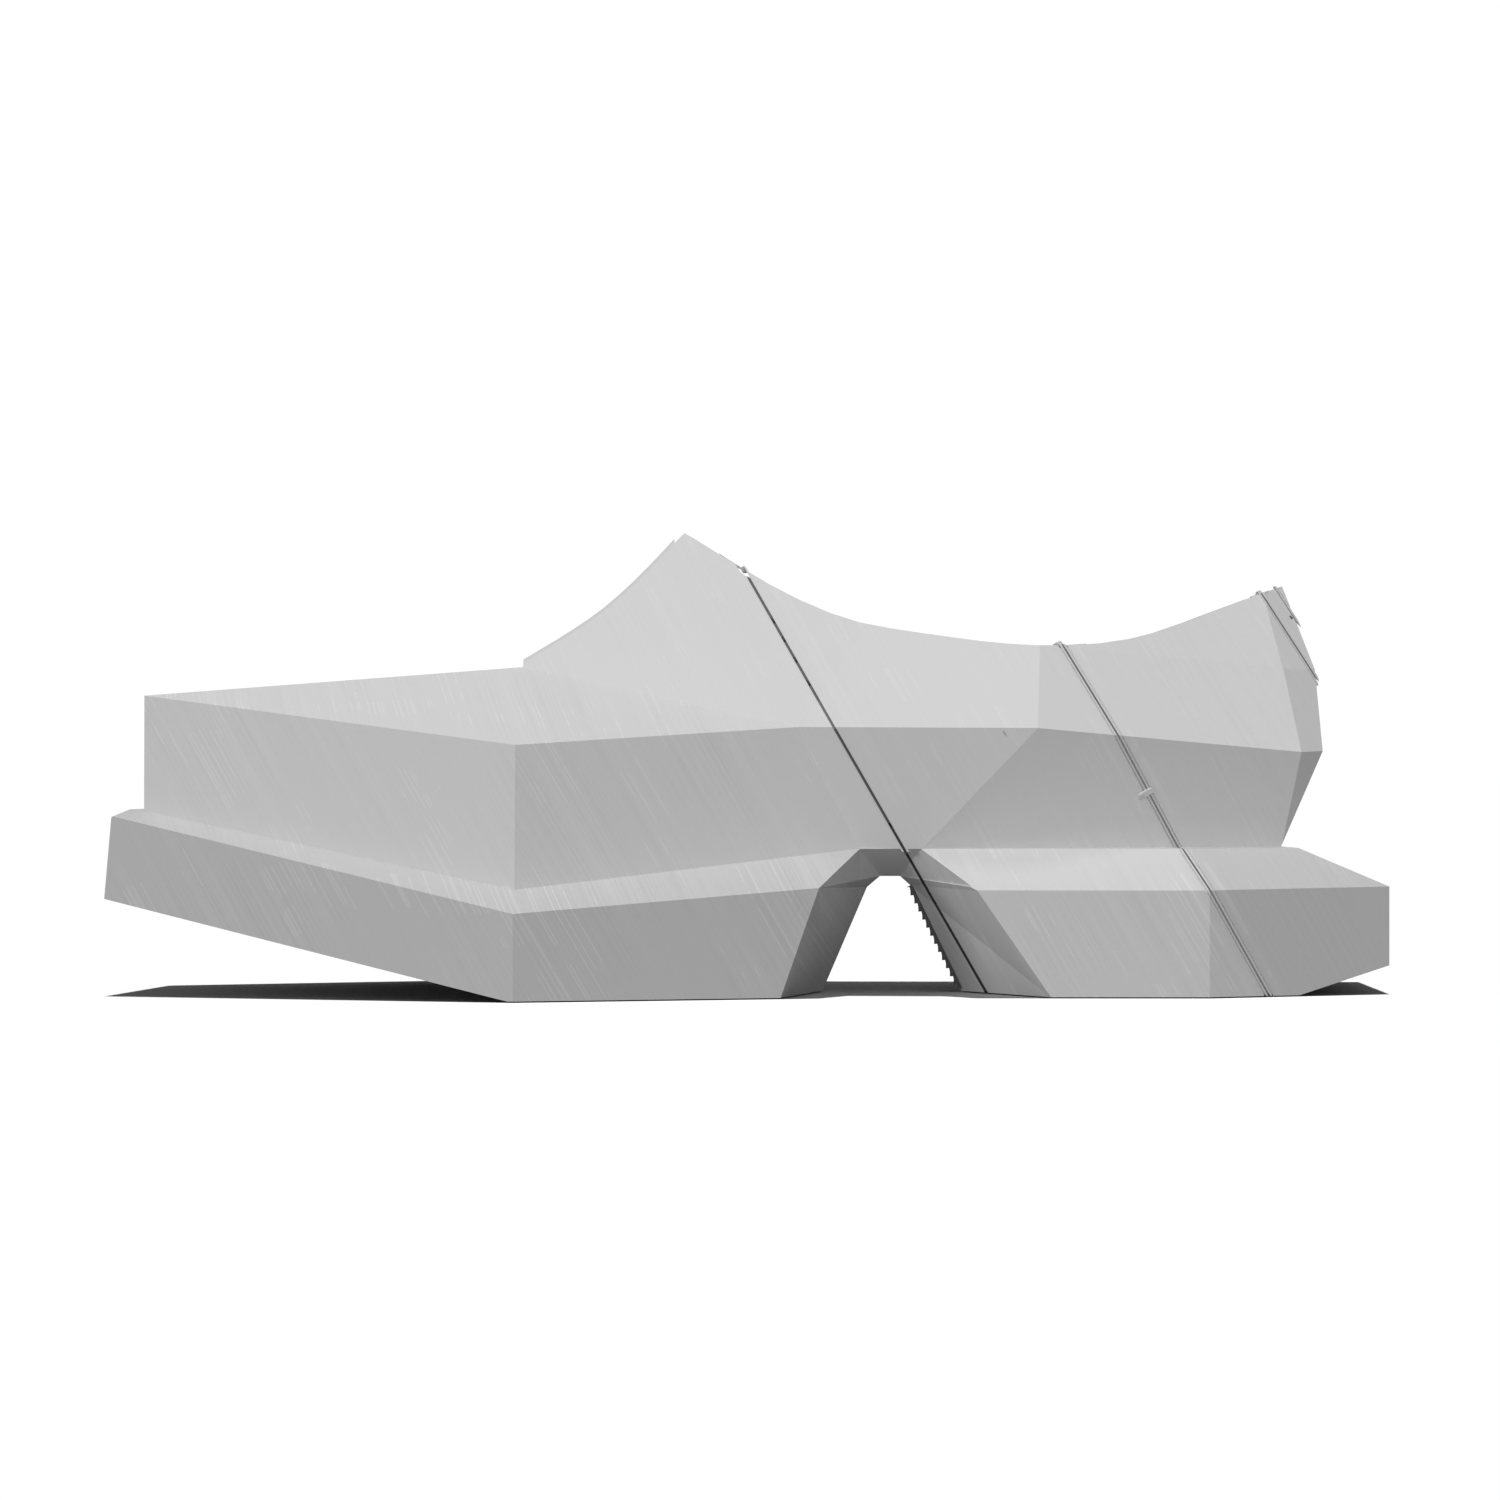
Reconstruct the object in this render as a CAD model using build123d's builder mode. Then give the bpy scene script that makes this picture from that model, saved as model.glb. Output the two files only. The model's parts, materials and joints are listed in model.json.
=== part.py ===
from build123d import *
import os
from math import sqrt

os.makedirs("parts", exist_ok=True)

# Folding loading ramp, about 2.0 m long.  A stepped base ring carries a box
# shaped approach block and a swooping upper body.  Leaning seams cut the ramp
# into sections that fold up over one another.
# Frame: +Z up, floor at Z = 0, +X along the ramp, -Y is the front face.

# ---------------------------------------------------------------- dimensions
wall = 12.0              # moulded shell wall
floor_clear = 2.0        # shell edges stand this far off the floor
pan_z = 6.0              # underside of the floor pans
pan_t = 8.0              # floor pan thickness
deck_join_z = 228.0      # level where upper body meets the base ring
rim_proud = 1.0          # how far the end plates stand out of the skin
top_proud = 2.5          # and how far they stand out of the running surface
seal_z = 262.0           # the first seam is sealed with rubber up to here
rim_t = 5.0              # edge rim thickness
rib_t = 8.0
rib_w = 30.0
rod_r = 8.0

lean = 0.574             # seam planes: X = x0 - lean * Z + skew * Y
skew = 0.0217
seam_1_x0 = 373.6
seam_2_x0 = 808.0
seam_3_x0 = 1194.0
seam_4_x0 = 1228.5
gap_1, gap_2, gap_3 = 4.0, 3.0, 2.6     # open width of each seam
plate_1, plate_2, plate_3 = 3.0, 2.8, 3.0   # end plate thickness
groove_2b, groove_2c = 2.6, 1.6

pin_r = 2.4
pin_fit = 0.05
knuckle_r = 4.6
pocket_r = 6.0
axis_lift = 3.2          # hinge axes above the running surface
leaf_t = 1.8
leaf_len = 36.0
screw_r, screw_head_r, screw_len = 2.0, 3.6, 9.0

# corners of the footprint on the floor
P1 = (-358.3, -380.6)
P2 = (-998.8, -181.5)
P3 = (-929.0, 180.0)
PB = (-533.0, 340.0)
Q3 = (1001.0, 300.0)
Q2 = (999.4, -115.0)
Q1 = (706.5, -247.0)
A2 = (464.2, -244.6)
A1 = (46.0, -268.5)
# upper edge of the base ring
P1t = (-358.3, -380.6, 134.4)
P2t = (-988.7, -181.5, 281.3)
P2b = (-1001.1, -181.5, 151.1)
A1t = (106.0, -251.9, 170.1)
A2t = (350.4, -245.0, 165.3)
Q1t = (707.8, -247.0, 166.0)
Q2t = (999.7, -115.0, 168.6)
Q2b = (999.2, -115.0, 45.3)
under_right = (845.0, -184.0, 0.0)
# approach block
Nb = (-358.6, -315.6, 168.8)
Lb = (-943.5, -164.6, 287.3)
Rb = (171.5, -133.1, 228.4)
Nt = (-357.0, -315.6, 389.6)
Lt = (-939.6, -164.6, 466.6)
R = (76.1, -165.9, 417.7)
Fc = (-363.1, 67.5, 514.8)
# upper body
PK = (-106.3, 250.0, 737.0)
C1t = (445.2, -200.3, 416.0)
C1b = (267.9, -142.0, 227.8)
K = (186.9, -10.4, 580.8)
S = (455.9, -69.2, 546.3)
Et = (868.2, -60.0, 378.9)
T1 = (837.2, 214.0, 629.6)
fold_z = 511.5           # level fold across the end of the upper body
H1 = (851.9, 61.5, fold_z)
T2 = (875.2, 295.7, 651.8)
H2 = (911.9, 140.0, fold_z)
G = (907.5, -6.7, 379.9)
Eb = (845.7, 18.2, 231.8)
# arch passage: throat section at throat_y, front and rear mouths flare out
throat_y = -40.0
T_fl = (113.6, throat_y, 0.0)
T_kl = (184.6, throat_y, 165.8)
T_tl = (205.0, throat_y, 183.2)
T_tr = (236.7, throat_y, 183.2)
T_kr = (252.5, throat_y, 169.0)
T_fr = (334.5, throat_y, 0.0)
rear_y = 300.0
split_x = 172.0          # end of the left base moulding

# running surface, as a line of points (X, Z)
deck = [(-363.1, 521.5), (-352.4, 527.8), (-328.8, 542.4), (-305.1, 557.0),
        (-281.5, 572.4), (-257.7, 588.8), (-233.9, 607.2), (-210.2, 628.2),
        (-186.4, 651.1), (-162.5, 676.2), (-138.6, 702.6), (-122.5, 721.2),
        (-107.2, 737.0), (-89.8, 726.5), (-65.1, 710.2), (-40.6, 693.5),
        (-11.3, 675.3), (32.2, 648.0), (80.0, 621.9), (127.3, 600.4),
        (174.4, 584.3), (221.5, 574.9), (268.6, 567.4), (315.5, 560.5),
        (362.3, 554.0), (409.1, 549.2), (455.9, 546.6), (504.3, 547.2),
        (553.3, 550.9), (602.7, 558.6), (653.4, 571.6), (705.0, 589.3),
        (757.4, 609.0), (810.5, 628.6), (837.5, 637.2), (856.1, 644.6),
        (874.9, 651.4), (940.0, 674.9)]

# ------------------------------------------------------------------- helpers


def face(a, b, c, inside):
    """Plane through three corners, its normal pointing away from inside."""
    va, vb, vc = Vector(*a), Vector(*b), Vector(*c)
    n = (vb - va).cross(vc - va).normalized()
    if n.dot(Vector(*inside) - va) > 0:
        n = n * -1
    return Plane(origin=va, z_dir=n)


def upright(a, b, inside):
    """Vertical plane over the line a-b seen in plan."""
    return face((a[0], a[1], 0), (b[0], b[1], 0), (a[0], a[1], 100), inside)


def level(z, up=True):
    return Plane(origin=(0, 0, z), z_dir=(0, 0, 1 if up else -1))


def rise(a, b, inside, slope, run=100.0):
    """Ledge plane: holds edge a-b and climbs inwards with the given slope."""
    va, vb = Vector(*a), Vector(*b)
    e = (vb - va)
    n = Vector(-e.Y, e.X, 0).normalized()
    if n.dot(Vector(*inside) - va) < 0:
        n = n * -1
    c = va + n * run + Vector(0, 0, slope * run)
    return face(a, b, (c.X, c.Y, c.Z), inside)


seam_len = sqrt(1 + skew * skew + lean * lean)
seam_n = Vector(1 / seam_len, -skew / seam_len, lean / seam_len)
seam_dir = Vector(skew, 1, 0).normalized()


def seam(x0, d, left=True):
    """Seam plane moved d along its normal.  left keeps what is left of it."""
    o = Vector(x0, 0, 0) + seam_n * d
    return Plane(origin=o, z_dir=seam_n if left else seam_n * -1)


def trimmed(block, planes):
    with BuildPart() as t:
        add(block)
        for p in planes:
            reach = [p.z_dir.dot(Vector(v.X, v.Y, v.Z) - p.origin) for v in t.part.vertices()]
            if max(reach) < 1e-6:
                continue
            if min(reach) > -1e-6:
                return None
            split(bisect_by=p, keep=Keep.BOTTOM)
    return t.part


def stock():
    with BuildPart() as s:
        with BuildSketch(Plane.XY):
            Rectangle(2400, 1200)
        extrude(amount=900)
    return s.part


def deck_line(d):
    """Running surface moved d along its own normal."""
    out = []
    for i, (x, z) in enumerate(deck):
        x0, z0 = deck[max(i - 1, 0)]
        x1, z1 = deck[min(i + 1, len(deck) - 1)]
        ln = sqrt((x1 - x0) ** 2 + (z1 - z0) ** 2)
        out.append((x - (z1 - z0) / ln * d, z + (x1 - x0) / ln * d))
    return out


def deck_stock(d):
    """Everything under the running surface moved by d."""
    line = deck_line(d)
    pts = [(-520, line[0][1] - 95)] + line + [(1100, 735), (1100, 0), (-520, 0)]
    with BuildPart() as s:
        with BuildSketch(Plane.XZ.offset(-600)):
            with BuildLine():
                Polyline(*pts, close=True)
            make_face()
        extrude(amount=1200)
    return s.part


def deck_band(d0, d1, y0, y1):
    """Strip between two offsets of the running surface, from y0 to y1."""
    pts = deck_line(d0) + deck_line(d1)[::-1]
    with BuildPart() as s:
        with BuildSketch(Plane.XZ.offset(-y1)):
            with BuildLine():
                Polyline(*pts, close=True)
            make_face()
        extrude(amount=y1 - y0)
    return s.part


# ------------------------------------------------------------ outline planes
mid_up = (300.0, 60.0, 350.0)
upper_planes = [
    face(Fc, R, PK, mid_up), face(R, C1t, K, mid_up), face(C1t, Et, S, mid_up),
    face(R, Rb, C1b, mid_up), face(C1t, C1b, Et, mid_up),
    face(S, H1, T1, mid_up),
    upright((-363.1, 0), (-363.1, 100), mid_up),
    upright((PB[0], PB[1] - 9), (Q3[0], Q3[1] - 9), mid_up),
]

# the end is closed by two facets over the fold, an undercut and a hidden rear facet
def rear_of(a, b):
    """Plane through a-b that turns away to the rear."""
    return face(a, b, (a[0] - 10, a[1] + 100, a[2]), mid_up)


end_top = [face(H1, H2, T1, mid_up), rear_of(T2, H2)]
end_low = [face(H1, H2, Et, mid_up), rear_of(H2, G), rear_of(G, Eb), face(Et, G, Eb, mid_up)]
mid_left = (-300.0, 0.0, 100.0)
slope_left = face(P1t, P2t, Nb, mid_left)
slope_front = face(P1t, A1t, Nb, mid_left)
left_planes = [
    upright(P1, P2, mid_left), upright(P1, A1, mid_left),
    face(P2t, P2b, (P3[0], P3[1], 270.0), mid_left),
    upright(P3, PB, mid_left), upright(PB, Q3, mid_left),
    slope_left, slope_front, face(Nb, Lb, Rb, mid_left), level(290),
    rise((P2[0], P2[1], 272.0), (P3[0], P3[1], 262.0), mid_left, 0.6),
    rise((P3[0], P3[1], 262.0), (PB[0], PB[1], 200.0), mid_left, 0.6),
    rise((PB[0], PB[1], 200.0), (Q3[0], Q3[1], 200.0), mid_left, 0.6),
]
left_under = [face((P1[0], P1[1], 0), P2b, (P1[0], 300.0, 0), mid_left)]
mid_right = (600.0, 0.0, 100.0)
right_planes = [
    upright(A2, Q1, mid_right), upright(Q1, Q2, mid_right),
    upright(Q2, Q3, mid_right), upright(PB, Q3, mid_right),
    rise((350.4, -245.0, 165.3), (707.8, -247.0, 166.0), mid_right, 0.6),
    rise(Q1t, Q2t, mid_right, 0.6),
    face(Eb, Q2t, (Eb[0] - 10, Eb[1] + 100, Eb[2]), mid_right),
    rise((Q3[0], Q3[1], 168.6), (PB[0], PB[1], 168.6), mid_right, 0.9),
]
right_under = [face(under_right, Q2b, (under_right[0], 300.0, 0), mid_right)]
in_f = (222.0, -100.0, 60.0)
in_r = (222.0, 100.0, 60.0)
mouth_front = [
    face((A1[0], A1[1], 0), A1t, T_fl, in_f), face(A1t, T_kl, T_fl, in_f),
    face(A1t, T_kl, T_tl, in_f),
    face(T_tl, T_tr, (222.0, -138.0, deck_join_z), in_f),
    face(T_tr, T_kr, A2t, in_f), face((A2[0], A2[1], 0), A2t, T_kr, in_f),
    face((A2[0], A2[1], 0), T_fr, T_kr, in_f),
]
mouth_rear = [
    face((40.0, rear_y, 0), T_fl, T_kl, in_r),
    face((110.0, rear_y, 175.0), T_kl, T_tl, in_r),
    face(T_tl, T_tr, (222.0, rear_y, 214.0), in_r),
    face(T_tr, T_kr, (335.0, rear_y, 175.0), in_r),
    face((430.0, rear_y, 0), T_fr, T_kr, in_r),
]
# the front mouth opens wider again over its chamfers, up to the upper body
in_top = (222.0, -120.0, 200.0)
mouth_top = [mouth_front[3], face(Rb, A1t, T_tl, in_top), face(C1b, A2t, T_tr, in_top)]
mouth_limits = [
    face(A1t, T_tl, (A1t[0] + 100, A1t[1], A1t[2]), in_top),
    face(A2t, T_tr, (A2t[0] + 100, A2t[1], A2t[2]), in_top),
]
at_throat = Plane(origin=(0, throat_y, 0), z_dir=(0, 1, 0))
past_throat = Plane(origin=(0, throat_y, 0), z_dir=(0, -1, 0))


def tunnel(d):
    """The arch passage with its walls moved outwards by d."""
    with BuildPart() as low:
        with Locations((0, 0, 400)):
            Box(2400, 1300, 1000)
    f = trimmed(low.part, [p.offset(d) for p in mouth_front] + [at_throat])
    r = trimmed(low.part, [p.offset(d) for p in mouth_rear] + [past_throat])
    m = trimmed(low.part, [p.offset(d) for p in mouth_top] + mouth_limits + [at_throat])
    with BuildPart() as t:
        add(f)
        add(r)
        if m is not None:
            add(m)
    return t.part


def upper(d, cuts=(), z=deck_join_z, end=False, top=None):
    """Upper body grown by d; end closes it with the folded end facets."""
    body = trimmed(deck_stock(d if top is None else top), [p.offset(d) for p in upper_planes] + [level(z, False)] + list(cuts))
    if not end:
        return body
    high = trimmed(body, [level(fold_z, False)] + [p.offset(d) for p in end_top])
    low = trimmed(body, [level(fold_z)] + [p.offset(d) for p in end_low])
    with BuildPart() as u:
        if high is not None:
            add(high)
        if low is not None:
            add(low)
    return u.part


def base_left(d, cuts=(), z=floor_clear, under=0.0, hole=True):
    body = trimmed(stock(), [p.offset(d) for p in left_planes]
                   + [p.offset(-under) for p in left_under] + [level(z, False)] + list(cuts))
    with BuildPart() as b:
        add(body)
        if hole:
            add(tunnel(-d), mode=Mode.SUBTRACT)
    return b.part


def base_right(d, cuts=(), z=floor_clear, under=0.0, top=deck_join_z, hole=True):
    body = trimmed(stock(), [p.offset(d) for p in right_planes] + [level(top)]
                   + [p.offset(-under) for p in right_under] + [level(z, False)] + list(cuts))
    with BuildPart() as b:
        add(body)
        if hole:
            add(tunnel(-d), mode=Mode.SUBTRACT)
    return b.part


def write(bp, label):
    bp.part.label = label
    export_step(bp.part, "parts/" + label + ".step")


# distances of the faces along each seam normal
a_end = -gap_1 / 2 - plate_1
b_start = gap_1 / 2 + plate_1
b_end = -gap_2 / 2 - plate_2 - groove_2b
c_start = gap_2 / 2 + plate_2 + groove_2c
c_end = -gap_3 / 2 - plate_3
d_start = gap_3 / 2 + plate_3
join = Plane(origin=(split_x, 0, 0), z_dir=(1, 0, 0))
join_back = Plane(origin=(split_x, 0, 0), z_dir=(-1, 0, 0))

# --------------------------------------------------------------- hinge stock


def deck_z(x):
    for (x0, z0), (x1, z1) in zip(deck, deck[1:]):
        if x0 <= x <= x1:
            return z0 + (z1 - z0) * (x - x0) / (x1 - x0)
    return deck[-1][1]


def hinge_point(x0, y, lift):
    """Point on the seam, lift above the running surface, at depth y."""
    z = 600.0
    for _ in range(60):
        z = 0.5 * z + 0.5 * deck_z(x0 - lean * z + skew * y)
    z = z + lift * 1.1
    return Vector(x0 - lean * z + skew * y, y, z)


def barrel(p, y0, y1, r, grow=0.0):
    """Cylinder about a hinge axis through p, between depths y0 and y1."""
    o = p + seam_dir * ((y0 - grow - p.Y) / seam_dir.Y)
    with BuildPart() as c:
        with BuildSketch(Plane(origin=o, x_dir=(0, 0, 1), z_dir=seam_dir)):
            Circle(r)
        extrude(amount=(y1 - y0 + 2 * grow) / seam_dir.Y)
    return c.part


hinges = {
    1: dict(x0=seam_1_x0, y0=207.0, y1=272.0, n=5, pin=pin_r, kn=knuckle_r, pocket=pocket_r, lift=axis_lift, leaf=22.0, t=leaf_t),
    2: dict(x0=seam_2_x0, y0=14.0, y1=203.0, n=9, pin=pin_r, kn=knuckle_r, pocket=pocket_r, lift=axis_lift, leaf=leaf_len, t=leaf_t),
    3: dict(x0=seam_3_x0, y0=226.0, y1=281.0, n=5, pin=1.5, kn=3.0, pocket=4.0, lift=3.0, leaf=14.0, t=1.6),
}
for h in hinges.values():
    h["p"] = hinge_point(h["x0"], 0.5 * (h["y0"] + h["y1"]), h["lift"])
    h["w"] = (h["y1"] - h["y0"]) / h["n"]


def pocket(k):
    h = hinges[k]
    return barrel(h["p"], h["y0"], h["y1"], h["pocket"], 0.6)


def leaf_seat(k):
    """Room for the leaves, cut out of the standing edges of the end plates."""
    h = hinges[k]
    return deck_band(0.0, 12.0, h["y0"] - 0.6, h["y1"] + 0.6)


def leaf(k, left):
    """One hinge leaf with its share of the knuckles."""
    h = hinges[k]
    side = -1 if left else 1
    lo, hi = sorted((side * (h["pocket"] + 0.4), side * h["leaf"]))
    plate = trimmed(deck_band(0.0, h["t"], h["y0"], h["y1"]),
                    [seam(h["x0"], hi), seam(h["x0"], lo, False)])
    with BuildPart() as out:
        add(plate)
        for i in range(h["n"]):
            if (i % 2 == 0) == left:
                y0 = h["y0"] + i * h["w"] + 0.25
                y1 = h["y0"] + (i + 1) * h["w"] - 0.25
                lo2, hi2 = sorted((side * (h["pocket"] + 1.0), side * 0.2))
                add(trimmed(deck_band(0.3, h["t"], y0, y1),
                            [seam(h["x0"], hi2), seam(h["x0"], lo2, False)]))
                add(barrel(h["p"], y0, y1, h["kn"]))
        add(barrel(h["p"], h["y0"], h["y1"], h["pin"] + (0.0 if left else pin_fit), 1.0), mode=Mode.SUBTRACT)
    return out.part


def deck_plane(x, y, lift=0.0):
    """Plane lying on the running surface at x, y."""
    e = 2.0
    dz = (deck_z(x + e) - deck_z(x - e)) / (2 * e)
    return Plane(origin=(x, y, deck_z(x)), x_dir=(0, 1, 0), z_dir=(-dz, 0, 1)).offset(lift)


def screws(k, left):
    """Countersunk screws that hold a leaf down."""
    h = hinges[k]
    side = -1 if left else 1
    with BuildPart() as out:
        for f in ((0.15, 0.5, 0.85) if k == 2 else (0.2, 0.8)):
            y = h["y0"] + f * (h["y1"] - h["y0"])
            x = h["p"].X + side * 0.74 * h["leaf"] * (1.0 if k == 2 else 1.55)
            with BuildSketch(deck_plane(x, y, h["t"] - screw_len)):
                Circle(screw_r)
            extrude(amount=screw_len)
            with Locations(Location(deck_plane(x, y, 0.5 * h["t"] + 0.1))):
                Cone(screw_r, screw_head_r, h["t"] - 0.2)
    return out.part


# wedge that opens the top of the first seam on its left side
with BuildPart() as notch_cut:
    with BuildSketch(Plane(origin=hinges[1]["p"] - seam_dir * 260, x_dir=seam_n, z_dir=seam_dir)):
        with BuildLine():
            Polyline((-gap_1 / 2 + 0.5, -14), (-8.2, -14), (-6.4, 5.0), (-gap_1 / 2, 17.0), (-gap_1 / 2 + 0.5, 17.0), close=True)
        make_face()
    extrude(amount=520)
notch_1 = notch_cut.part

# =============================================================== section A
left_cut = [join]
with BuildPart() as base_left_shell:
    add(base_left(0, left_cut))
    add(base_left(-wall, left_cut, z=-50, under=-60), mode=Mode.SUBTRACT)
write(base_left_shell, "base_left_shell")

with BuildPart() as base_left_pan:
    add(base_left(-wall, left_cut, z=pan_z, under=pan_z - floor_clear))
    add(base_left(-wall, left_cut, z=pan_z + pan_t, under=pan_z - floor_clear + pan_t), mode=Mode.SUBTRACT)
write(base_left_pan, "base_left_pan")

with BuildPart() as base_left_ribs:
    ring = base_left(-wall, left_cut, z=pan_z + pan_t, under=pan_z - floor_clear + pan_t)
    core = base_left(-wall - rib_w, left_cut, z=pan_z + pan_t + rib_w, under=pan_z - floor_clear + pan_t + rib_w)
    for x in (-720.0, -480.0, -240.0, 0.0):
        slab = [Plane(origin=(x + rib_t, 0, 0), z_dir=(1, 0, 0)), Plane(origin=(x, 0, 0), z_dir=(-1, 0, 0))]
        with BuildPart(mode=Mode.PRIVATE) as one:
            add(trimmed(ring, slab))
            add(trimmed(core, slab), mode=Mode.SUBTRACT)
        add(one.part)
write(base_left_ribs, "base_left_ribs")

mid_block = (-400.0, -150.0, 350.0)
block_planes = [
    face(Nb, Lb, Nt, mid_block), upright(Nb, Rb, mid_block),
    face(Nt, Lt, R, mid_block), upright(Lt, Fc, mid_block),
    level(165, False), join, upper_planes[-1],
]
base_left_full = base_left(0, left_cut, hole=False)
upper_full = upper(0, z=100)
with BuildPart() as block_hood:
    add(trimmed(stock(), block_planes))
    add(trimmed(stock(), [p.offset(-wall) for p in block_planes[:4]] + [level(50, False)] + block_planes[5:]), mode=Mode.SUBTRACT)
    add(base_left_full, mode=Mode.SUBTRACT)
    add(upper_full, mode=Mode.SUBTRACT)
write(block_hood, "block_hood")

with BuildPart() as block_frame:
    ring = trimmed(stock(), [p.offset(-wall) for p in block_planes[:4]] + [level(165, False)])
    core = trimmed(stock(), [p.offset(-wall - rib_w) for p in block_planes[:4]] + [level(30, False)])
    for x in (-690.0, -500.0):
        slab = [Plane(origin=(x + rib_t, 0, 0), z_dir=(1, 0, 0)), Plane(origin=(x, 0, 0), z_dir=(-1, 0, 0))]
        with BuildPart(mode=Mode.PRIVATE) as one:
            add(trimmed(ring, slab))
            add(trimmed(core, slab), mode=Mode.SUBTRACT)
        add(one.part)
    add(base_left_full, mode=Mode.SUBTRACT)
write(block_frame, "block_frame")

with BuildPart() as upper_left_shell:
    add(upper(0, [seam(seam_1_x0, a_end)]))
    add(upper(-wall, [seam(seam_1_x0, 20)], z=100), mode=Mode.SUBTRACT)
    add(base_left_full, mode=Mode.SUBTRACT)
    add(pocket(1), mode=Mode.SUBTRACT)
    add(screws(1, True), mode=Mode.SUBTRACT)
    add(notch_1, mode=Mode.SUBTRACT)
write(upper_left_shell, "upper_left_shell")

with BuildPart() as upper_left_ribs:
    ring = upper(-wall, [seam(seam_1_x0, a_end)])
    core = upper(-wall - rib_w, [seam(seam_1_x0, a_end)], z=deck_join_z + rib_w)
    for d in (-380.0, -190.0, a_end - rib_t - 4):
        slab = [seam(seam_1_x0, d + rib_t), seam(seam_1_x0, d, False)]
        with BuildPart(mode=Mode.PRIVATE) as one:
            add(trimmed(ring, slab))
            add(trimmed(core, slab), mode=Mode.SUBTRACT)
        add(one.part)
    add(base_left_full, mode=Mode.SUBTRACT)
write(upper_left_ribs, "upper_left_ribs")

with BuildPart() as arch_lintel:
    add(base_right(0, [join_back, seam(seam_1_x0, a_end)]))
write(arch_lintel, "arch_lintel")


def end_plate(x0, d0, d1, proud, spacer=None, inset=4.0, z=floor_clear, only_upper=False, top=None):
    """Closing plate of a section: a sheet between d0 and d1, standing proud."""
    cuts = [seam(x0, d1), seam(x0, d0, False)]
    with BuildPart() as pl:
        add(upper(proud, cuts, z=deck_join_z - 5, end=only_upper, top=top))
        if not only_upper:
            add(base_right(proud, cuts, z=z))
        if spacer:
            c2 = [seam(x0, spacer[1]), seam(x0, spacer[0], False)]
            add(upper(-inset, c2, z=deck_join_z - 5, end=only_upper))
            if not only_upper:
                add(base_right(-inset, c2, z=z + 2))
    return pl.part


with BuildPart() as end_plate_a:
    add(end_plate(seam_1_x0, a_end, -gap_1 / 2, 0.0))
    add(pocket(1), mode=Mode.SUBTRACT)
    add(notch_1, mode=Mode.SUBTRACT)
write(end_plate_a, "end_plate_a")

with BuildPart() as tie_rods_a:
    for y, z in ((60.0, 330.0), (190.0, 330.0)):
        with BuildSketch(Plane(origin=(-351.1, y, z), z_dir=(1, 0, 0))):
            Circle(rod_r)
        extrude(amount=900)
    split(bisect_by=seam(seam_1_x0, a_end), keep=Keep.BOTTOM)
write(tie_rods_a, "tie_rods_a")

rim_end = Plane(origin=(-124.0, 0, 0), z_dir=(1, 0, 0))
with BuildPart() as edge_rim:
    add(trimmed(deck_stock(rim_t), [upper_planes[0], upper_planes[-2], upper_planes[-1], rim_end]))
    add(trimmed(deck_stock(rim_t + 20), [upper_planes[0].offset(-14.0)]), mode=Mode.SUBTRACT)
    add(deck_stock(0), mode=Mode.SUBTRACT)
write(edge_rim, "edge_rim")


def pads(points):
    with BuildPart() as out:
        with BuildSketch(Plane.XY):
            with Locations(*points):
                RectangleRounded(70, 44, 10)
        extrude(amount=pan_z)
    return out.part


with BuildPart() as feet_a:
    add(pads([(-310, -300), (-310, 270), (0, -215), (-20, 215), (0, 0)]))
write(feet_a, "feet_a")

with BuildPart() as hinge_1_leaf_a:
    add(leaf(1, True))
    add(screws(1, True), mode=Mode.SUBTRACT)
write(hinge_1_leaf_a, "hinge_1_leaf_a")

with BuildPart() as hinge_1_pin:
    add(barrel(hinges[1]["p"], hinges[1]["y0"], hinges[1]["y1"], pin_r))
write(hinge_1_pin, "hinge_1_pin")

with BuildPart() as hinge_1_screws_a:
    add(screws(1, True))
write(hinge_1_screws_a, "hinge_1_screws_a")

# =================================================================== latch
facet = face(C1t, C1b, Et, mid_up)
latch_at = Vector(620.0, 0, 316.0)
tt = facet.z_dir.dot(facet.origin - latch_at) / facet.z_dir.Y
latch_at = latch_at + Vector(0, tt, 0)
off = (latch_at.X - (seam_2_x0 - lean * latch_at.Z + skew * latch_at.Y)) / seam_len
latch_at = latch_at - seam_n * (off + 13.0)
tt = facet.z_dir.dot(facet.origin - latch_at) / facet.z_dir.Y
latch_at = latch_at + Vector(0, tt, 0)
latch_plane = Plane(origin=latch_at, x_dir=seam_n, z_dir=facet.z_dir)
latch_hole = latch_plane.offset(-12.0)
with BuildPart() as latch_post:
    with BuildSketch(latch_hole):
        Circle(2.5)
    extrude(amount=12.0 + rim_proud + 0.5 + 3.0 + 0.3)
    with BuildSketch(latch_plane.offset(rim_proud + 0.5 + 3.0 + 0.3)):
        Circle(3.8)
    extrude(amount=1.2)
write(latch_post, "latch_post")

with BuildPart() as latch_tab:
    with BuildSketch(latch_plane.offset(rim_proud + 0.5)):
        with Locations((8.0, 0)):
            SlotOverall(26.0, 10.0)
        Circle(2.55, mode=Mode.SUBTRACT)
    extrude(amount=3.0)
write(latch_tab, "latch_tab")

# narrow slot under the brow of the middle section
brow = face(R, Rb, C1b, mid_up)
slot_at = Vector(394.7, 0, 406.0)
tt = brow.z_dir.dot(brow.origin - slot_at) / brow.z_dir.Y
slot_at = slot_at + Vector(0, tt, 0)
slot_plane = Plane(origin=slot_at, x_dir=Vector(0.5, 0, -0.87), z_dir=brow.z_dir)

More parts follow.
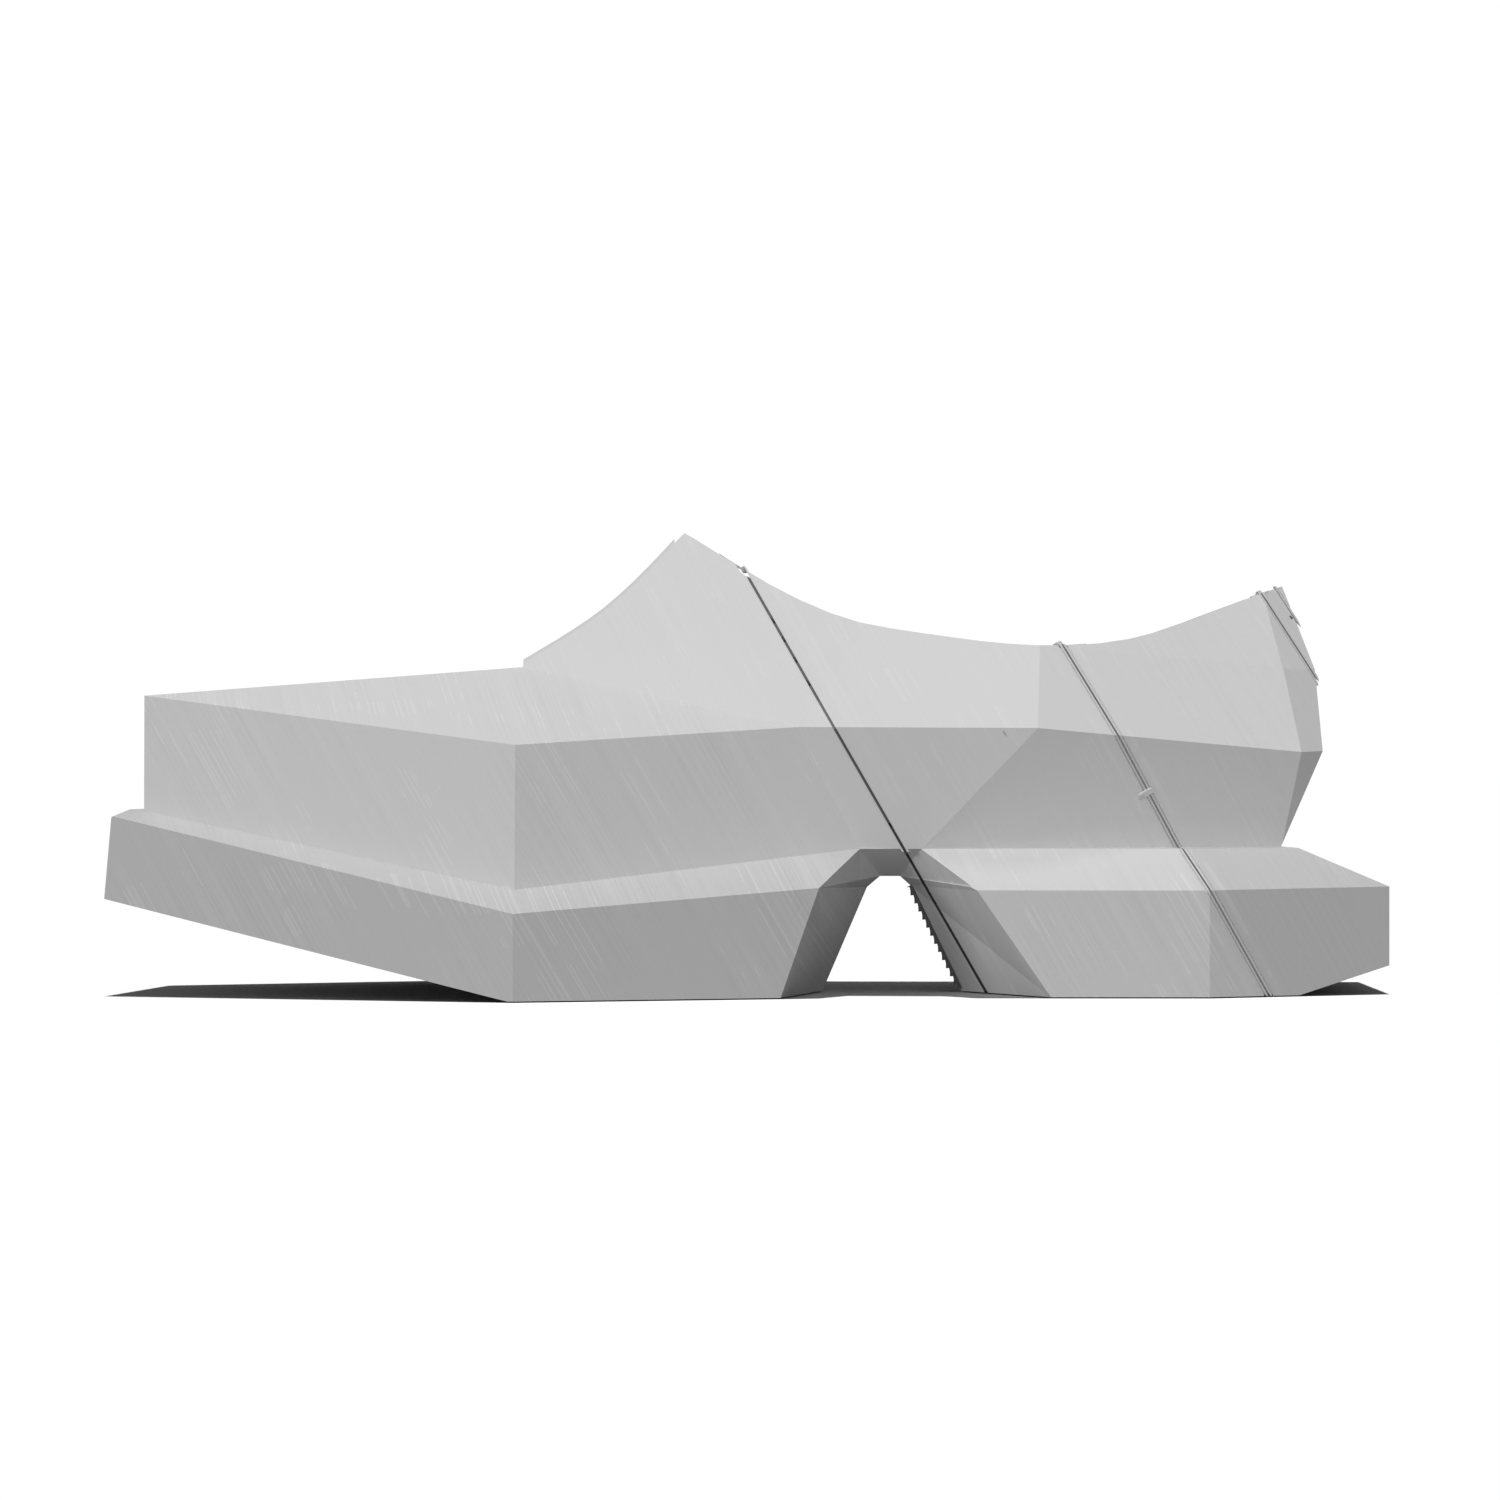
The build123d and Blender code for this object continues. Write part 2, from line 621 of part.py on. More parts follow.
# rubber buttons in the first seam, on the left plate
with BuildPart() as seam_buttons:
    for z in (588.0, 558.0, 525.0, 488.0):
        f1 = upper_planes[0]
        c = Vector(seam_1_x0 - lean * z, 0, z)
        c = c + Vector(0, f1.z_dir.dot(f1.origin - c) / f1.z_dir.Y + 5.0, 0)
        c = c - seam_n * ((c.X - (seam_1_x0 - lean * c.Z + skew * c.Y)) / seam_len + gap_1 / 2)
        with BuildSketch(Plane(origin=c, x_dir=seam_n.cross(f1.z_dir), z_dir=seam_n)):
            SlotOverall(12.0, 4.2)
        extrude(amount=gap_1 - 0.3)
write(seam_buttons, "seam_buttons")

# rubber strip that closes the lower part of the first seam, on the left plate
seal_cuts = [seam(seam_1_x0, gap_1 / 2 - 0.3), seam(seam_1_x0, -gap_1 / 2, False), level(seal_z)]
with BuildPart() as seam_seal:
    add(upper(-2.0, seal_cuts, z=deck_join_z - 8))
    add(base_right(-2.0, seal_cuts, z=4.0))
    add(upper(-18.0, seal_cuts, z=deck_join_z + 16), mode=Mode.SUBTRACT)
    add(base_right(-18.0, seal_cuts, z=20.0, top=deck_join_z + 2), mode=Mode.SUBTRACT)
write(seam_seal, "seam_seal")

# saw-toothed rubber strip along the right edge of the arch throat
tooth_n, tooth_pitch = 13, 14.2
with BuildPart() as arch_strip:
    a = Vector(T_kr[0], 0, T_kr[2] - 1.0)
    e = (Vector(T_fr[0], 0, T_fr[2]) - a).normalized()
    n = Vector(e.Z, 0, -e.X)
    pts = []
    for i in range(tooth_n):
        for f, h in ((0.0, 6.0), (0.12, 1.6), (0.55, 3.0)):
            t = (i + f) * tooth_pitch
            if t < 182.0:
                q = a + e * t + n * h
                pts.append((q.X, q.Z))
    q0, q1 = a + e * 183.0 - n * 6.0, a - n * 6.0
    pts = pts + [(q0.X, q0.Z), (q1.X, q1.Z)]
    with BuildSketch(Plane.XZ.offset(-throat_y - 6.0)):
        with BuildLine():
            Polyline(*pts, close=True)
        make_face()
    extrude(amount=12.0)
    add(tunnel(0), mode=Mode.INTERSECT)
    split(bisect_by=level(floor_clear, False), keep=Keep.BOTTOM)
write(arch_strip, "arch_strip")

# =============================================================== section B
b_cuts = [seam(seam_1_x0, b_start, False), seam(seam_2_x0, b_end)]
b_wide = [seam(seam_1_x0, -20, False), seam(seam_2_x0, 20)]
with BuildPart() as upper_mid_shell:
    add(upper(0, b_cuts))
    add(upper(-wall, b_wide, z=100), mode=Mode.SUBTRACT)
    add(pocket(1), mode=Mode.SUBTRACT)
    add(pocket(2), mode=Mode.SUBTRACT)
    add(screws(1, False), mode=Mode.SUBTRACT)
    add(screws(2, True), mode=Mode.SUBTRACT)
    with BuildSketch(latch_hole):
        Circle(2.5)
    extrude(amount=20, mode=Mode.SUBTRACT)
    with BuildSketch(slot_plane.offset(-9.0)):
        SlotOverall(12.0, 2.6)
    extrude(amount=20, mode=Mode.SUBTRACT)
write(upper_mid_shell, "upper_mid_shell")

with BuildPart() as upper_mid_ribs:
    ring = upper(-wall, b_cuts)
    core = upper(-wall - rib_w, b_cuts, z=deck_join_z + rib_w)
    for d in (120.0, 250.0):
        slab = [seam(seam_1_x0, d + rib_t), seam(seam_1_x0, d, False)]
        with BuildPart(mode=Mode.PRIVATE) as one:
            add(trimmed(ring, slab))
            add(trimmed(core, slab), mode=Mode.SUBTRACT)
        add(one.part)
write(upper_mid_ribs, "upper_mid_ribs")

with BuildPart() as base_mid_shell:
    add(base_right(0, b_cuts))
    add(base_right(-wall, b_wide, z=-50, top=deck_join_z - wall), mode=Mode.SUBTRACT)
write(base_mid_shell, "base_mid_shell")

with BuildPart() as base_mid_pan:
    add(base_right(-wall, b_cuts, z=pan_z, top=pan_z + pan_t))
write(base_mid_pan, "base_mid_pan")

with BuildPart() as base_mid_ribs:
    ring = base_right(-wall, b_cuts, z=pan_z + pan_t, top=deck_join_z - wall)
    core = base_right(-wall - rib_w, b_cuts, z=pan_z + pan_t + rib_w, top=deck_join_z - wall - rib_w)
    for d in (150.0, 270.0):
        slab = [seam(seam_1_x0, d + rib_t), seam(seam_1_x0, d, False)]
        with BuildPart(mode=Mode.PRIVATE) as one:
            add(trimmed(ring, slab))
            add(trimmed(core, slab), mode=Mode.SUBTRACT)
        add(one.part)
write(base_mid_ribs, "base_mid_ribs")

lip_cuts = [seam(seam_1_x0, b_start), seam(seam_1_x0, gap_1 / 2, False), upper_planes[0]]
with BuildPart() as end_plate_b1:
    add(end_plate(seam_1_x0, gap_1 / 2, b_start, 0.0))
    add(upper(-7.0, [seam(seam_1_x0, gap_1 / 2), seam(seam_1_x0, -gap_1 / 2 + 0.3, False)], z=seal_z + 6))
    add(trimmed(deck_band(-1.0, 5.0, 140.0, 205.0), lip_cuts))
    add(pocket(1), mode=Mode.SUBTRACT)
write(end_plate_b1, "end_plate_b1")

with BuildPart() as end_plate_b2:
    add(end_plate(seam_2_x0, b_end + groove_2b, -gap_2 / 2, rim_proud, spacer=(b_end, b_end + groove_2b), top=top_proud))
    add(pocket(2), mode=Mode.SUBTRACT)
    add(leaf_seat(2), mode=Mode.SUBTRACT)
write(end_plate_b2, "end_plate_b2")

with BuildPart() as tie_rods_b:
    for y, z in ((-20.0, 330.0), (150.0, 330.0), (150.0, 470.0)):
        with BuildSketch(Plane(origin=(-200, y, z), z_dir=(1, 0, 0))):
            Circle(rod_r)
        extrude(amount=1200)
    split(bisect_by=seam(seam_1_x0, b_start, False), keep=Keep.BOTTOM)
    split(bisect_by=seam(seam_2_x0, b_end), keep=Keep.BOTTOM)
write(tie_rods_b, "tie_rods_b")

with BuildPart() as feet_b:
    add(pads([(520, -200), (520, 170), (700, -200), (700, 155)]))
write(feet_b, "feet_b")

with BuildPart() as hinge_1_leaf_b:
    add(leaf(1, False))
    add(screws(1, False), mode=Mode.SUBTRACT)
write(hinge_1_leaf_b, "hinge_1_leaf_b")

with BuildPart() as hinge_1_screws_b:
    add(screws(1, False))
write(hinge_1_screws_b, "hinge_1_screws_b")

with BuildPart() as hinge_2_leaf_b:
    add(leaf(2, True))
    add(screws(2, True), mode=Mode.SUBTRACT)
write(hinge_2_leaf_b, "hinge_2_leaf_b")

with BuildPart() as hinge_2_pin:
    add(barrel(hinges[2]["p"], hinges[2]["y0"], hinges[2]["y1"], pin_r))
write(hinge_2_pin, "hinge_2_pin")

with BuildPart() as hinge_2_screws_b:
    add(screws(2, True))
write(hinge_2_screws_b, "hinge_2_screws_b")

# =============================================================== section C
c_cuts = [seam(seam_2_x0, c_start, False), seam(seam_3_x0, c_end)]
c_wide = [seam(seam_2_x0, -20, False), seam(seam_3_x0, c_end)]
c_base = [seam(seam_2_x0, c_start, False)]
c_base_wide = [seam(seam_2_x0, -20, False)]
with BuildPart() as upper_right_shell:
    add(upper(0, c_cuts, end=True))
    add(upper(-wall, [seam(seam_2_x0, -20, False), seam(seam_3_x0, c_end - wall)], z=100, end=True), mode=Mode.SUBTRACT)
    add(pocket(2), mode=Mode.SUBTRACT)
    add(pocket(3), mode=Mode.SUBTRACT)
    add(screws(2, False), mode=Mode.SUBTRACT)
write(upper_right_shell, "upper_right_shell")

with BuildPart() as upper_right_ribs:
    ring = upper(-wall, [seam(seam_2_x0, c_start, False), seam(seam_3_x0, c_end - wall)], end=True)
    core = upper(-wall - rib_w, c_cuts, z=deck_join_z + rib_w, end=True)
    for d in (110.0, 210.0):
        slab = [seam(seam_2_x0, d + rib_t), seam(seam_2_x0, d, False)]
        with BuildPart(mode=Mode.PRIVATE) as one:
            add(trimmed(ring, slab))
            add(trimmed(core, slab), mode=Mode.SUBTRACT)
        add(one.part)
write(upper_right_ribs, "upper_right_ribs")

with BuildPart() as base_right_shell:
    add(base_right(0, c_base, hole=False))
    add(base_right(-wall, c_base_wide, z=-50, under=-60, top=deck_join_z - wall, hole=False), mode=Mode.SUBTRACT)
write(base_right_shell, "base_right_shell")

with BuildPart() as base_right_pan:
    add(base_right(-wall, c_base, z=pan_z, under=pan_z - floor_clear, top=deck_join_z - wall, hole=False))
    add(base_right(-wall, c_base, z=pan_z + pan_t, under=pan_z - floor_clear + pan_t, top=deck_join_z - wall, hole=False), mode=Mode.SUBTRACT)
write(base_right_pan, "base_right_pan")

with BuildPart() as end_plate_c1:
    add(end_plate(seam_2_x0, gap_2 / 2, c_start - groove_2c, rim_proud, spacer=(c_start - groove_2c, c_start), top=top_proud))
    add(pocket(2), mode=Mode.SUBTRACT)
    add(leaf_seat(2), mode=Mode.SUBTRACT)
write(end_plate_c1, "end_plate_c1")

with BuildPart() as end_plate_c2:
    add(end_plate(seam_3_x0, c_end, -gap_3 / 2, 2.5, only_upper=True))
    add(pocket(3), mode=Mode.SUBTRACT)
    add(leaf_seat(3), mode=Mode.SUBTRACT)
write(end_plate_c2, "end_plate_c2")

with BuildPart() as tie_rods_c:
    for y, z in ((70.0, 350.0), (130.0, 350.0)):
        with BuildSketch(Plane(origin=(400, y, z), z_dir=(1, 0, 0))):
            Circle(rod_r)
        extrude(amount=700)
    split(bisect_by=seam(seam_2_x0, c_start, False), keep=Keep.BOTTOM)
    split(bisect_by=seam(seam_2_x0, 210.0), keep=Keep.BOTTOM)
write(tie_rods_c, "tie_rods_c")

with BuildPart() as feet_c:
    add(pads([(845 - 36, 200), (845 - 34, -150)]))
    split(bisect_by=seam(seam_2_x0, c_start + 2, False), keep=Keep.BOTTOM)
write(feet_c, "feet_c")

with BuildPart() as hinge_2_leaf_c:
    add(leaf(2, False))
    add(screws(2, False), mode=Mode.SUBTRACT)
write(hinge_2_leaf_c, "hinge_2_leaf_c")

with BuildPart() as hinge_2_screws_c:
    add(screws(2, False))
write(hinge_2_screws_c, "hinge_2_screws_c")

with BuildPart() as hinge_3_leaf_c:
    add(leaf(3, True))
write(hinge_3_leaf_c, "hinge_3_leaf_c")

with BuildPart() as hinge_3_pin:
    add(barrel(hinges[3]["p"], hinges[3]["y0"], hinges[3]["y1"], hinges[3]["pin"]))
write(hinge_3_pin, "hinge_3_pin")

# ================================================================ tip flap
bump_z = 599.5
bump_at = Vector(seam_4_x0 - lean * bump_z, 0, bump_z) - seam_n * 4.5
bump_at = bump_at + Vector(0, end_top[0].z_dir.dot(end_top[0].origin - bump_at) / end_top[0].z_dir.Y, 0)
with BuildPart() as tip_bumper:
    add(upper(0.4, [seam(seam_4_x0, -1.5), seam(seam_4_x0, -7.5, False)], end=True))
    with Locations(Location(Plane(origin=bump_at, x_dir=seam_n, z_dir=seam_dir))):
        Box(30, 6.5, 14, mode=Mode.INTERSECT)
write(tip_bumper, "tip_bumper")

with BuildPart() as tip_shell:
    add(upper(0, [seam(seam_3_x0, d_start, False), seam(seam_4_x0, -3.0)], end=True))
    add(pocket(3), mode=Mode.SUBTRACT)
    add(tip_bumper.part, mode=Mode.SUBTRACT)
write(tip_shell, "tip_shell")

with BuildPart() as end_plate_d:
    add(end_plate(seam_3_x0, gap_3 / 2, d_start, 4.0, only_upper=True, top=2.5))
    add(pocket(3), mode=Mode.SUBTRACT)
    add(leaf_seat(3), mode=Mode.SUBTRACT)
write(end_plate_d, "end_plate_d")

with BuildPart() as tip_plate:
    add(end_plate(seam_4_x0, -1.5, 1.5, 4.0, spacer=(-3.0, -1.5), inset=3.0, only_upper=True))
    add(upper(-3.0, [seam(seam_4_x0, 3.0), seam(seam_4_x0, 1.5, False)], end=True))
    add(tip_bumper.part, mode=Mode.SUBTRACT)
write(tip_plate, "tip_plate")

with BuildPart() as tip_cap:
    add(upper(0, [seam(seam_4_x0, 3.0, False)], end=True))
write(tip_cap, "tip_cap")

with BuildPart() as hinge_3_leaf_d:
    add(leaf(3, False))
write(hinge_3_leaf_d, "hinge_3_leaf_d")

for k, h in hinges.items():
    print("hinge", k, [round(v, 3) for v in tuple(h["p"])])
print("latch", [round(v, 3) for v in tuple(latch_at)], [round(v, 5) for v in tuple(facet.z_dir)])
print("seam direction", [round(v, 6) for v in tuple(seam_dir)])
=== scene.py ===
import bpy, bmesh, json, math
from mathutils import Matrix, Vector

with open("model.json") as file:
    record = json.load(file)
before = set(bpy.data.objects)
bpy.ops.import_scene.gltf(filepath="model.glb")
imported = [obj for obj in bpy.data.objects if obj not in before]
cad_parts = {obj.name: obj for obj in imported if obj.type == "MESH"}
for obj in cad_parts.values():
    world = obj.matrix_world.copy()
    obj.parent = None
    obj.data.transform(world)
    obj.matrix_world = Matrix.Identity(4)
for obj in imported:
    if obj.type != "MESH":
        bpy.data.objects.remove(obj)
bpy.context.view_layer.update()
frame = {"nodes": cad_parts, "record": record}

scene = bpy.context.scene
NODES = frame["nodes"]

# seam geometry, shared by the layer texture
LEAN, SKEW = 0.574, 0.0217
SL = math.sqrt(1 + SKEW * SKEW + LEAN * LEAN)
SEAM_N = (1 / SL, -SKEW / SL, LEAN / SL)


# ------------------------------------------------------------------ materials
def new_mat(name):
    m = bpy.data.materials.new(name)
    m.use_nodes = True
    nt = m.node_tree
    nt.nodes.clear()
    return m, nt


def node(nt, kind, **props):
    n = nt.nodes.new(kind)
    for k, v in props.items():
        setattr(n, k, v)
    return n


def math_node(nt, op, a, b=None, clamp=False):
    n = node(nt, "ShaderNodeMath", operation=op)
    n.use_clamp = clamp
    for i, v in enumerate((a, b)):
        if v is None:
            continue
        if isinstance(v, (int, float)):
            n.inputs[i].default_value = v
        else:
            nt.links.new(v, n.inputs[i])
    return n.outputs[0]


def mix_col(nt, fac, a, b, mode="MIX"):
    n = node(nt, "ShaderNodeMix", data_type="RGBA", blend_type=mode)
    for sock, v in ((n.inputs["Factor"], fac), (n.inputs[6], a), (n.inputs[7], b)):
        if isinstance(v, (int, float)):
            sock.default_value = v
        elif isinstance(v, tuple):
            sock.default_value = (*v, 1.0)
        else:
            nt.links.new(v, sock)
    return n.outputs[2]


def noise(nt, co, scale, detail=4.0, rough=0.55):
    n = node(nt, "ShaderNodeTexNoise")
    n.inputs["Scale"].default_value = scale
    n.inputs["Detail"].default_value = detail
    n.inputs["Roughness"].default_value = rough
    nt.links.new(co, n.inputs["Vector"])
    return n.outputs["Fac"]


def edge_mask(nt, radius, lo=0.02, hi=0.35):
    """1 on sharp edges, from the bevelled normal against the face's own."""
    bev = node(nt, "ShaderNodeBevel", samples=4)
    bev.inputs["Radius"].default_value = radius
    geo = node(nt, "ShaderNodeNewGeometry")
    d = node(nt, "ShaderNodeVectorMath", operation="DOT_PRODUCT")
    nt.links.new(bev.outputs[0], d.inputs[0])
    nt.links.new(geo.outputs["Normal"], d.inputs[1])
    inv = math_node(nt, "SUBTRACT", 1.0, d.outputs["Value"], clamp=True)
    rng = node(nt, "ShaderNodeMapRange")
    rng.inputs["From Min"].default_value = lo
    rng.inputs["From Max"].default_value = hi
    nt.links.new(inv, rng.inputs["Value"])
    return rng.outputs[0]


def moulded(name, value, pitch=0.0023, line=0.5, bump=0.25, rough=0.62, wear=0.08, tint=(1.0, 1.0, 1.0), painted_seam_shade=None):
    """Matte grey plastic built up in thin leaning layers, with soft patches, specks and rubbed edges."""
    m, nt = new_mat(name)
    out = node(nt, "ShaderNodeOutputMaterial")
    bs = node(nt, "ShaderNodeBsdfPrincipled")
    nt.links.new(bs.outputs[0], out.inputs[0])
    tc = node(nt, "ShaderNodeTexCoord")
    co = tc.outputs["Object"]
    d = node(nt, "ShaderNodeVectorMath", operation="DOT_PRODUCT")
    nt.links.new(co, d.inputs[0])
    d.inputs[1].default_value = SEAM_N
    t = raw = d.outputs["Value"]
    wob = math_node(nt, "MULTIPLY", math_node(nt, "SUBTRACT", noise(nt, co, 3.0, 2.0), 0.5), 0.0016)
    t = math_node(nt, "ADD", t, wob)
    ph = math_node(nt, "MULTIPLY", t, 2 * math.pi / pitch)
    wave = math_node(nt, "MULTIPLY", math_node(nt, "ADD", math_node(nt, "SINE", ph), 1.0), 0.5)
    # each layer is a hair lighter or darker than its neighbours
    lay = node(nt, "ShaderNodeTexWhiteNoise", noise_dimensions="1D")
    nt.links.new(math_node(nt, "FLOOR", math_node(nt, "DIVIDE", t, pitch)), lay.inputs["W"])
    wide = node(nt, "ShaderNodeTexNoise", noise_dimensions="1D")
    wide.inputs["Scale"].default_value = 38.0
    wide.inputs["Detail"].default_value = 6.0
    nt.links.new(t, wide.inputs["W"])
    patch = noise(nt, co, 2.2, 3.0)
    area = noise(nt, co, 5.5, 2.0)
    fine = noise(nt, co, 420.0, 3.0)
    speck = noise(nt, co, 90.0, 5.0, 0.7)
    # the layers show in some areas more than in others
    show = node(nt, "ShaderNodeMapRange")
    show.inputs["From Min"].default_value = 0.36
    show.inputs["From Max"].default_value = 0.66
    nt.links.new(area, show.inputs["Value"])
    show = math_node(nt, "ADD", math_node(nt, "MULTIPLY", show.outputs[0], 0.85), 0.15)
    v = math_node(nt, "MULTIPLY", math_node(nt, "SUBTRACT", wave, 0.5), 0.035 * line)
    v = math_node(nt, "ADD", v, math_node(nt, "MULTIPLY", math_node(nt, "SUBTRACT", lay.outputs["Value"], 0.5), 0.035 * line))
    v = math_node(nt, "ADD", v, math_node(nt, "MULTIPLY", math_node(nt, "SUBTRACT", wide.outputs["Fac"], 0.5), 0.055 * line))
    v = math_node(nt, "MULTIPLY", v, show)
    # single layers that stand out as hairlines for part of their length
    rare = math_node(nt, "GREATER_THAN", lay.outputs["Value"], 0.86)
    hair = math_node(nt, "GREATER_THAN", noise(nt, co, 9.0, 2.0), 0.56)
    hair = math_node(nt, "MULTIPLY", math_node(nt, "MULTIPLY", rare, hair), 0.030 * line)
    v = math_node(nt, "ADD", v, hair)
    v = math_node(nt, "ADD", v, math_node(nt, "MULTIPLY", math_node(nt, "SUBTRACT", patch, 0.5), 0.02))
    v = math_node(nt, "ADD", v, math_node(nt, "MULTIPLY", math_node(nt, "SUBTRACT", speck, 0.5), 0.025))
    edge = edge_mask(nt, 0.0022)
    worn = math_node(nt, "MULTIPLY", edge, math_node(nt, "GREATER_THAN", noise(nt, co, 34.0, 6.0, 0.7), 0.42))
    v = math_node(nt, "ADD", v, math_node(nt, "MULTIPLY", worn, wear))
    v = math_node(nt, "ADD", v, value)
    if painted_seam_shade:
        # painted shade: the faces that close on each other inside a seam are painted dark to stand in for the seam's
        # shadow
        inside = math_node(nt, painted_seam_shade[0], raw, painted_seam_shade[1])
        v = math_node(nt, "MULTIPLY", v, math_node(nt, "SUBTRACT", 1.0, math_node(nt, "MULTIPLY", inside, 0.72)))
    col = node(nt, "ShaderNodeCombineColor")
    for i, k in enumerate(tint):
        nt.links.new(math_node(nt, "MULTIPLY", v, k), col.inputs[i])
    nt.links.new(col.outputs[0], bs.inputs["Base Color"])
    r = math_node(nt, "ADD", rough, math_node(nt, "MULTIPLY", math_node(nt, "SUBTRACT", speck, 0.5), 0.16))
    r = math_node(nt, "SUBTRACT", r, math_node(nt, "MULTIPLY", worn, 0.12))
    nt.links.new(r, bs.inputs["Roughness"])
    bs.inputs["Specular IOR Level"].default_value = 0.25
    h = math_node(nt, "ADD", math_node(nt, "MULTIPLY", math_node(nt, "MULTIPLY", wave, show), 1.0),
                  math_node(nt, "MULTIPLY", fine, 0.35))
    bp = node(nt, "ShaderNodeBump")
    bp.inputs["Strength"].default_value = bump
    bp.inputs["Distance"].default_value = 0.00025
    nt.links.new(h, bp.inputs["Height"])
    nt.links.new(bp.outputs[0], bs.inputs["Normal"])
    return m


def metal(name, base, rough=0.34, brushed=True, metallic=0.85, axis=(1, 0, 0)):
    m, nt = new_mat(name)
    out = node(nt, "ShaderNodeOutputMaterial")
    bs = node(nt, "ShaderNodeBsdfPrincipled")
    nt.links.new(bs.outputs[0], out.inputs[0])
    tc = node(nt, "ShaderNodeTexCoord")
    mp = node(nt, "ShaderNodeMapping")
    mp.inputs["Scale"].default_value = (900, 14, 900) if brushed else (200, 200, 200)
    nt.links.new(tc.outputs["Object"], mp.inputs["Vector"])
    grain = noise(nt, mp.outputs[0], 1.0, 4.0)
    patch = noise(nt, tc.outputs["Object"], 24.0, 4.0)
    edge = edge_mask(nt, 0.0012)
    v = math_node(nt, "ADD", base, math_node(nt, "MULTIPLY", math_node(nt, "SUBTRACT", grain, 0.5), 0.10))
    v = math_node(nt, "ADD", v, math_node(nt, "MULTIPLY", math_node(nt, "SUBTRACT", patch, 0.5), 0.08))
    v = math_node(nt, "ADD", v, math_node(nt, "MULTIPLY", edge, 0.10))
    col = node(nt, "ShaderNodeCombineColor")
    for i in range(3):
        nt.links.new(v, col.inputs[i])
    nt.links.new(col.outputs[0], bs.inputs["Base Color"])
    bs.inputs["Metallic"].default_value = metallic
    r = math_node(nt, "ADD", rough, math_node(nt, "MULTIPLY", math_node(nt, "SUBTRACT", patch, 0.5), 0.18))
    nt.links.new(r, bs.inputs["Roughness"])
    bp = node(nt, "ShaderNodeBump")
    bp.inputs["Strength"].default_value = 0.2
    bp.inputs["Distance"].default_value = 0.0001
    nt.links.new(grain, bp.inputs["Height"])
    nt.links.new(bp.outputs[0], bs.inputs["Normal"])
    return m


def rubber(name):
    m, nt = new_mat(name)
    out = node(nt, "ShaderNodeOutputMaterial")
    bs = node(nt, "ShaderNodeBsdfPrincipled")
    nt.links.new(bs.outputs[0], out.inputs[0])
    tc = node(nt, "ShaderNodeTexCoord")
    a = noise(nt, tc.outputs["Object"], 60.0, 5.0)
    b = noise(nt, tc.outputs["Object"], 900.0, 2.0)
    v = math_node(nt, "ADD", 0.02, math_node(nt, "MULTIPLY", a, 0.05))
    col = node(nt, "ShaderNodeCombineColor")
    for i in range(3):
        nt.links.new(v, col.inputs[i])
    nt.links.new(col.outputs[0], bs.inputs["Base Color"])
    nt.links.new(math_node(nt, "ADD", 0.7, math_node(nt, "MULTIPLY", a, 0.2)), bs.inputs["Roughness"])
    bp = node(nt, "ShaderNodeBump")
    bp.inputs["Strength"].default_value = 0.4
    bp.inputs["Distance"].default_value = 0.0003
    nt.links.new(b, bp.inputs["Height"])
    nt.links.new(bp.outputs[0], bs.inputs["Normal"])
    return m


MATS = {
    "shell": moulded("shell", 0.61, line=0.55, wear=0.05),
    "plate": moulded("plate", 0.57, line=0.2, bump=0.1, rough=0.5, wear=0.02),
    "hinge_leaf": metal("hinge_leaf", 0.60, rough=0.62, metallic=0.15),
    "fastener": metal("fastener", 0.52, rough=0.50, brushed=False, metallic=0.30),
    "rib": moulded("rib", 0.46, line=0.6, rough=0.7),
    "pan": moulded("pan", 0.33, line=0.8, rough=0.75),
    "rubber_pad": rubber("rubber_pad"),
}
slot_of = {s["node"]: s["material_slot"] for s in frame["record"]["subparts"]}
# painted shade and painted light: the base mouldings and the arch are painted darker than the body, and the block
# hood lighter, to stand in for how light falls on them; the base mouldings also show their layers more than the body
OWN = {
    "base_left_shell": moulded("shell_base_left", 0.51, line=1.4, wear=0.05),
    "arch_lintel": moulded("shell_arch", 0.54, line=0.9, wear=0.05),
    "base_mid_shell": moulded("shell_base", 0.59, line=1.1, wear=0.05),
    "block_hood": moulded("shell_block", 0.655, line=1.1, wear=0.05),
}
SEAM_1 = 0.3736 / SL
PLATE = dict(line=0.2, bump=0.1, rough=0.5, wear=0.02)
# painted shade: the two plates at seam 1 are darkened on their faces inside the seam
OWN["end_plate_a"] = moulded("plate_a", 0.57, painted_seam_shade=("GREATER_THAN", SEAM_1 - 0.0021), **PLATE)
OWN["end_plate_b1"] = moulded("plate_b", 0.57, painted_seam_shade=("LESS_THAN", SEAM_1 + 0.0021), **PLATE)
# painted shade: the right base moulding's copy of the shell is painted darker as well
OWN["base_right_shell"] = moulded("shell_base_right", 0.525, line=1.0, wear=0.05)

# -------------------------------------------------------------- node finishing
def finish_mesh(o, bevel):
    me = o.data
    dec = o.modifiers.new("plain_faces", "DECIMATE")
    dec.decimate_type = "DISSOLVE"
    dec.angle_limit = math.radians(0.3)
    if bevel:
        b = o.modifiers.new("soft_edges", "BEVEL")
        b.width = bevel
        b.segments = 2
        b.limit_method = "ANGLE"
        b.angle_limit = math.radians(24)
        b.use_clamp_overlap = True
        b.harden_normals = False


for name, o in NODES.items():
    slot = slot_of[name]
    me = o.data
    me.materials.clear()
    me.materials.append(OWN.get(name, MATS[slot]))

# smooth the running surface's small folds only; the facets stay flat
def smooth_small(o, deg):
    for e in o.data.polygons:
        e.use_smooth = True
    o.data.set_sharp_from_angle(angle=math.radians(deg))


for name, o in NODES.items():
    if slot_of[name] in ("shell", "plate", "rib", "pan"):
        smooth_small(o, 7.0)
    else:
        smooth_small(o, 30.0)

